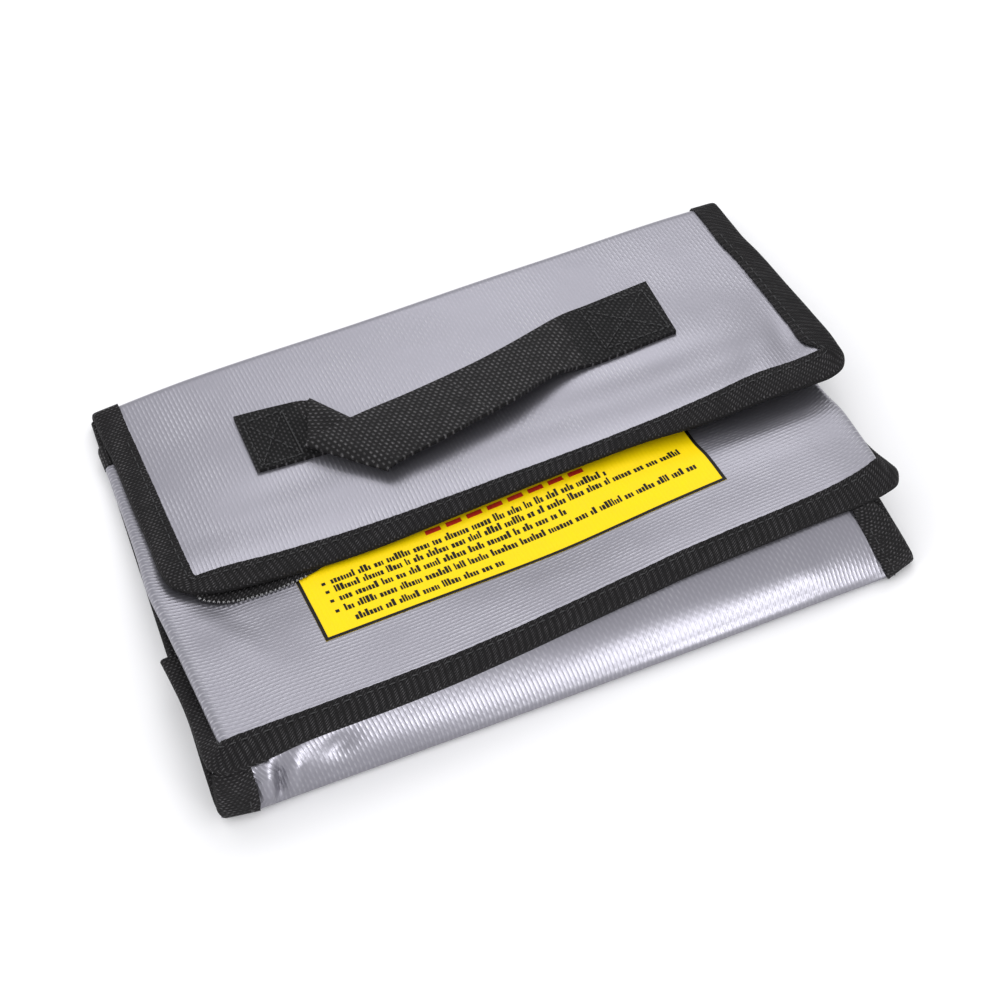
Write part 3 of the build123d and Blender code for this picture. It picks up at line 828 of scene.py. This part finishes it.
bottom_seam_binding = folded_tape("bottom_seam_tape", *seam_pair, CLOTH / 2 + 0.1, BINDING)
on_body(bottom_seam_binding, "front", "binding_tape", "bottom_seam_binding")

# Side seams on the surface, turned up at the bottom end.
left_outer = [(-105, 70, 1.25), (-106.2, 40, 1.25), (-107.9, 0, 1.25), (-108.8, -21, 1.25),
              (-109.9, -45, 1.25), (-110.9, -64, 1.25), (-111.1, -70.5, 1.3), (-110.9, -73.4, 1.7),
              (-110.8, -74.9, 2.9), (-111.4, -75.2, 5.8), (-111.5, -74.8, 9),
              (-111.3, -74.4, 13), (-111, -73.6, 17), (-110.4, -72, 19)]
left_inner = [(-96.2, 70, 1.1), (-97.2, 40, 1.1), (-98.8, 0, 1.1), (-99.7, -21, 1.1),
              (-100.8, -45, 1.1), (-101.7, -64, 1.1), (-101.3, -72, 1.1), (-101, -75, 1.5),
              (-100.8, -76.4, 3), (-100.5, -76.3, 6), (-100.3, -75.2, 9),
              (-100.4, -74.3, 13), (-100.6, -72.4, 17), (-100.8, -70.8, 18.8)]
right_outer = [(108.2, 75.4, 1.25), (106.9, 40, 1.25), (104.6, 0, 1.25), (103, -30, 1.25),
               (101.6, -55, 1.25), (100.9, -66, 1.25), (100.4, -70.2, 1.4), (99.6, -72, 2.2),
               (98.9, -71.4, 4.4), (97, -67.7, 8.5), (95.4, -64.9, 11.6), (93.6, -62, 14.4),
               (91.6, -59.2, 16.6), (90.6, -55.8, 17.4)]
right_inner = [(99.2, 75.4, 1.1), (98, 40, 1.1), (95.5, 0, 1.1), (93.8, -30, 1.1),
               (92.3, -55, 1.1), (91, -70, 1.1), (90, -74.2, 1.3), (89.4, -75, 2.2),
               (88.6, -74, 4.4), (86.8, -69.8, 8.5), (85.8, -66, 11.6), (85, -62.4, 14.4),
               (84.4, -59.8, 16.6), (84, -56.2, 17.8)]
side_lines = {"left": paired(left_outer, left_inner, 700),
              "right": paired(right_outer, right_inner, 700)}
for side, (outer, inner) in side_lines.items():
    binding = folded_tape(side + "_edge_tape", outer, inner, CLOTH / 2 + 0.2, BINDING)
    across(binding, "bag", "front", SEAM_START, SEAM_END, "binding_tape",
           side + "_seam_binding", side + "_end_binding")


def mouth_line(shift):
    """Line along the front panel's free edge, round both of its rolled sides."""
    x = np.linspace(-104.0, 103.6, 500)
    flat, _ = over_front(x, mouth_y(x) + shift)
    turn = np.linspace(0, 0.8 * math.pi, 14)[1:, None]
    left = flat[0] + ROLL * np.hstack([-np.sin(turn), 0 * turn, np.cos(turn) - 1])
    right = flat[-1] + ROLL * np.hstack([np.sin(turn), 0 * turn, np.cos(turn) - 1])
    return np.concatenate([left[::-1], flat, right])


mouth_outer, mouth_inner = mouth_line(0.4), mouth_line(-8.2)
mouth_binding = folded_tape("mouth_tape", mouth_outer, mouth_inner, CLOTH / 2, BINDING)
on_body(mouth_binding, "front", "binding_tape", "mouth_binding")


# ---- sewing
def seam_line(outer, inner, share, lift, face=(0, 0, 1)):
    """Line on the tape's outer face, a share of the way from its fold to its inner edge."""
    line = outer + (inner - outer) * share
    forward = unit(np.gradient(line, axis=0))
    normal = unit(np.cross(forward, inner - outer))
    if np.dot(normal.mean(0), np.asarray(face, float)) < 0:
        normal = -normal
    return line + normal * lift, normal


for name, face, nodes in (("flap_stitches", 1, ["flap_threads"]), ("flap_stitches_under", -1, [])):
    line, normal = seam_line(*flap_pair, 0.80, face * (FLAP_STACK + TAPE + CLEAR))
    threads = stitches(name, line[70:-70], face * normal[70:-70], THREAD)
    on_body(threads, "flap", "sewing_thread", *nodes)
line, normal = seam_line(*seam_pair, 0.82, SEAM_STACK)
seam_thread = stitches("bottom_seam_stitches", line[120:-110], normal[120:-110], THREAD)
on_body(seam_thread, "front", "sewing_thread", "bottom_seam_thread")
for side, (outer, inner) in side_lines.items():
    lower, upper = (outer[:430], inner[:430]), (outer[565:660], inner[565:660])
    line, normal = seam_line(*lower, 0.80, SEAM_STACK)
    flat_thread = stitches(side + "_seam_stitches", line, normal, THREAD)
    on_body(flat_thread, "bag", "sewing_thread", "seam_threads")
    line, normal = seam_line(*upper, 0.80, SEAM_STACK, face=(0, -1, 0))
    end_thread = stitches(side + "_end_stitches", line, normal, THREAD)
    across(end_thread, "bag", "front", SEAM_START, SEAM_END, "sewing_thread")


# ---- fasteners inside
loop_near = through((-110, 9.5), (110, 12.5))
loop_far = through((-110, 31.5), (110, 34.5))
loop_tape = solid_sheet("loop_fastener_tape", plan_patch(
    over_front, (-84, 82), loop_near, loop_far, CLOTH / 2 + FASTENER / 2, 16, 90), FASTENER, LOOP)
on_body(loop_tape, "front", "loop_fastener", "loop_tape")
hook_tape = solid_sheet("hook_fastener_tape", plan_patch(
    over_flap, (-84, 82), loop_near, loop_far, -(CLOTH / 2 + LINING + FASTENER / 2), 16, 90),
    FASTENER, HOOK)
on_body(hook_tape, "flap", "hook_fastener", "hook_tape")


# ---- printed notice
NOTICE_LEFT, NOTICE_RIGHT = sides_of("notice_border")
NOTICE_SKEW = 0.068        # rise of its lower border per width
NOTICE_LOW = -43.6         # y of its lower left corner
BORDER = 1.0               # width of its black line
WIDE, TALL = NOTICE_RIGHT - NOTICE_LEFT, 43.0


def notice_patch(left, right, bottom, top, lift, rows, cols):
    """Part of the notice, in millimetres from its left and lower borders."""
    x, up = np.meshgrid(np.linspace(left, right, cols), np.linspace(bottom, top, rows))
    x = NOTICE_LEFT + x
    y = NOTICE_LOW + NOTICE_SKEW * (x - NOTICE_LEFT) + up
    points, _ = over_front(x, y, lift)
    return points


def printed(name, left, right, bottom, top, layer, material, step=2.0):
    rows = max(3, int((top - bottom) / step) + 2)
    cols = max(3, int((right - left) / step) + 2)
    lift = CLOTH / 2 + INK * (layer + 0.5) + CLEAR
    grid = notice_patch(left, right, bottom, top, lift, rows, cols)
    return solid_sheet(name, grid, INK, material)


notice = printed("notice_field", 0, WIDE, 0, TALL, 0, YELLOW)
on_body(notice, "front", "notice_ink", "notice_panel")
edges = ((0, WIDE, 0, BORDER), (0, WIDE, TALL - BORDER, TALL), (0, BORDER, BORDER, TALL - BORDER),
         (WIDE - BORDER, WIDE, BORDER, TALL - BORDER))
border = [printed("notice_edge_%d" % k, *edge, 1, BLACK_INK) for k, edge in enumerate(edges)]
for strip in border:
    on_body(strip, "front", "border_ink", "notice_border")


def marks(name, areas, material):
    """Small printed blocks, each (left, right, bottom, top) on the notice."""
    low_lift = CLOTH / 2 + INK + 0.03       # over the field
    points, faces, uvs = [], [], []
    for left, right, bottom, top in areas:
        base = len(points)
        for lift in (low_lift, low_lift + INK):
            corner = notice_patch(left, right, bottom, top, lift, 2, 2)
            for row, col in ((0, 0), (0, 1), (1, 1), (1, 0)):
                points.append(corner[row, col])
                uvs.append((left if col == 0 else right, bottom if row == 0 else top))
        for face in ((3, 2, 1, 0), (4, 5, 6, 7), (0, 1, 5, 4), (1, 2, 6, 5), (2, 3, 7, 6),
                     (3, 0, 4, 7)):
            faces.append([base + k for k in face])
    return make_mesh(name, np.array(points), faces, np.array(uvs), material)


def greeked_line(start, end, base, size, stroke):
    """Blocks that stand for a line of print, with gaps between its words."""
    areas, x = [], start
    while x < end:
        for _ in range(int(rng.integers(2, 9))):
            width = stroke * rng.uniform(0.7, 1.5)
            tall = size * rng.choice([0.62, 0.62, 0.68, 1.0])
            areas.append((x, x + width, base, base + tall))
            x += width + stroke * 0.5
            if x > end:
                break
        x += stroke * 1.6
    return areas


# Each line's start, end and height over the lower border.
lines = ((10.5, 56.0, 3.6), (9.0, 120.0, 8.4), (9.0, 80.0, 12.8), (9.0, 120.0, 16.8),
         (9.0, 96.0, 20.4))
ink_areas = []
for k, (start, end, base) in enumerate(lines):
    ink_areas += greeked_line(start, end, base, 2.7, 0.6)
    if k > 0:
        ink_areas.append((6.2, 7.3, base + 0.4, base + 1.5))
notice_lines = marks("notice_lines", ink_areas, BLACK_INK)
on_body(notice_lines, "front", "border_ink")
BAR, BAR_STEP = 4.8, 6.6
heading = [(start, start + BAR, bottom, top) for bottom, top in ((25.0, 26.6), (27.6, 31.0))
           for start in 40.0 + BAR_STEP * np.arange(8)]
notice_heading = marks("notice_heading", heading, RED_INK)
on_body(notice_heading, "front", "border_ink")


# ---- carrying strap
SEWN = CLOTH / 2 + WEBBING / 2 + CLEAR      # height of a sewn-down strap's middle


def strap_grid(stations, count, columns=13):
    """Flat strap through stations on its far and near edges: x, y and lift of each."""
    edges = [[over_flap(x, y, SEWN + lift)[0] for x, y, lift in edge]
             for edge in ([p[:3] for p in stations], [p[3:] for p in stations])]
    far, near = paired(*edges, count)
    share = np.linspace(0, 1, columns)[None, :, None]
    return far[:, None, :] * (1 - share) + near[:, None, :] * share


left_stations = (
    (-65.6, 49, 0, -66, 24.6, 0), (-60, 48.6, 0, -60, 24.3, 0),
    (-52, 47.8, 0, -50, 23.8, 0), (-46, 47, 0.1, -36, 22.8, 0.3),
    (-43.6, 46.2, 0.4, -29, 21.8, 0.7), (-42.6, 45.6, 1.1, -27.4, 21.4, 1.5),
    (-43, 44.6, 1.7, -28, 20.2, 2.2), (-45.5, 38, 1.8, -29.4, 15, 2),
    (-48.2, 30.5, 1.6, -30.2, 10.4, 1.2), (-49.8, 27.3, 2, -31, 8, 1.4),
    (-50, 26.6, 2.8, -31.2, 7.4, 2.2), (-48.6, 26.8, 3.5, -29.8, 7.5, 3),
    (-41, 29, 3.5, -23.4, 8.8, 3.6), (-30, 31.8, 2.6, -15, 9.9, 4.2),
    (-16, 34.6, 1.4, -5, 12, 4.6), (-2, 37.2, 0.9, 4, 14, 4.8))
right_stations = (
    (-2, 37.2, 0.9, 4, 14, 4.8), (10, 39.6, 0.6, 13, 16.4, 4.6),
    (24, 43, 0.5, 23, 20.4, 3.8), (33, 45.6, 0.4, 31, 23.2, 2.4),
    (38.5, 47.3, 0.2, 36.6, 23.9, 1), (42, 48.2, 0, 41, 24, 0.2),
    (50, 48.8, 0, 50, 24.4, 0), (62, 50, 0, 61, 25.2, 0), (72.6, 51, 0, 70.8, 25.8, 0))


def sewn_end(obj, grid, wanted):
    """Gives the sewn-down end of a strap its matted finish."""
    rows, cols, _ = grid.shape
    obj.data.materials.append(SEWN_STRAP)
    on_flap = grid[:-1, :, 2].mean(1) < 13.2
    sewn_rows = wanted(grid[:-1, :, 0].mean(1)) & on_flap
    for polygon in obj.data.polygons:
        row = (polygon.index % ((rows - 1) * (cols - 1))) // (cols - 1)
        if polygon.index < 2 * (rows - 1) * (cols - 1) and sewn_rows[row]:
            polygon.material_index = 1


left_grid = strap_grid(left_stations, 300)
right_grid = strap_grid(right_stations, 220)
handle_left = solid_sheet("handle_strap_left", left_grid[:, ::-1], WEBBING, STRAP, sharp=60)
sewn_end(handle_left, left_grid, lambda x: x < -45)
across(handle_left, "flap", "handle", (-50, 0, 0), (-14, 0, 0), "strap_webbing",
       "handle_end_left", "handle_strap")
handle_right = solid_sheet("handle_strap_right", right_grid[:, ::-1], WEBBING, STRAP, sharp=60)
sewn_end(handle_right, right_grid, lambda x: x > 40)
across(handle_right, "flap", "handle", (42, 0, 0), (12, 0, 0), "strap_webbing",
       "handle_end_right")


def box_stitching(name, x_range, y_range, node):
    """Sewn rectangle with diagonals."""
    (x0, x1), (y0, y1) = x_range, y_range
    corners = [(x0, y0), (x1, y0), (x1, y1), (x0, y1), (x0, y0), (x1, y1), (x1, y0), (x0, y1)]
    plan = []
    for (ax, ay), (bx, by) in zip(corners[:-1], corners[1:]):
        for t in np.linspace(0, 1, 24, endpoint=False):
            plan.append((ax + (bx - ax) * t, ay + (by - ay) * t))
    plan = np.array(plan)
    line, normal = over_flap(plan[:, 0], plan[:, 1], SEWN + WEBBING / 2 + CLEAR)
    threads = stitches(name, line, normal, THREAD, length=1.9, gap=0.6, radius=0.22)
    return on_body(threads, "flap", "sewing_thread", node)


box_stitching("left_box_stitches", (-64.0, -51.5), (25.5, 45.0), "handle_stitch_left")
box_stitching("right_box_stitches", (48.0, 69.5), (28.0, 47.5), "handle_stitch_right")


# ---- stage, lights, camera
def floor():
    material = bpy.data.materials.new("pale_floor")
    material.use_nodes = True
    shader = material.node_tree.nodes["Principled BSDF"]
    shader.inputs["Base Color"].default_value = (0.93, 0.93, 0.935, 1)
    shader.inputs["Roughness"].default_value = 0.9
    shader.inputs["Specular IOR Level"].default_value = 0.1
    reach = 3.0 / MM
    corners = [(-reach, -reach, 0), (reach, -reach, 0), (reach, reach, 0), (-reach, reach, 0)]
    obj = make_mesh("floor", corners, [(0, 1, 2, 3)], np.zeros((4, 2)), material)
    obj.location = (0, 0, -0.0002)


def area_light(name, location, size, power):
    data = bpy.data.lights.new(name, "AREA")
    data.shape = "SQUARE"
    data.size = size
    data.energy = power
    obj = bpy.data.objects.new(name, data)
    obj.location = location
    obj.rotation_euler = (-Vector(location)).to_track_quat("-Z", "Y").to_euler()
    bpy.context.scene.collection.objects.link(obj)


floor()
area_light("key_light", (0.30, 0.65, 0.85), 0.6, 2.6)
area_light("left_light", (-0.9, -0.1, 0.45), 0.5, 2.5)
area_light("front_light", (0.345, -0.93, 0.16), 0.34, 3.4)

world = bpy.data.worlds.new("studio")
world.use_nodes = True
world.node_tree.nodes["Background"].inputs["Color"].default_value = (1.0, 1.0, 1.02, 1)
world.node_tree.nodes["Background"].inputs["Strength"].default_value = 0.97
bpy.context.scene.world = world
bpy.context.scene.view_settings.view_transform = "Standard"

# Camera fitted to the photo.
camera_data = bpy.data.cameras.new("camera")
camera_data.lens = 72
camera_data.sensor_width = 36
camera_data.clip_start = 0.01
camera = bpy.data.objects.new("camera", camera_data)
camera.location = (-0.1441, -0.3409, 0.4674)
camera.rotation_euler = Vector((0.2406, 0.5667, -0.7880)).to_track_quat("-Z", "Y").to_euler()
bpy.context.scene.collection.objects.link(camera)
bpy.context.scene.camera = camera

bpy.context.view_layer.update()
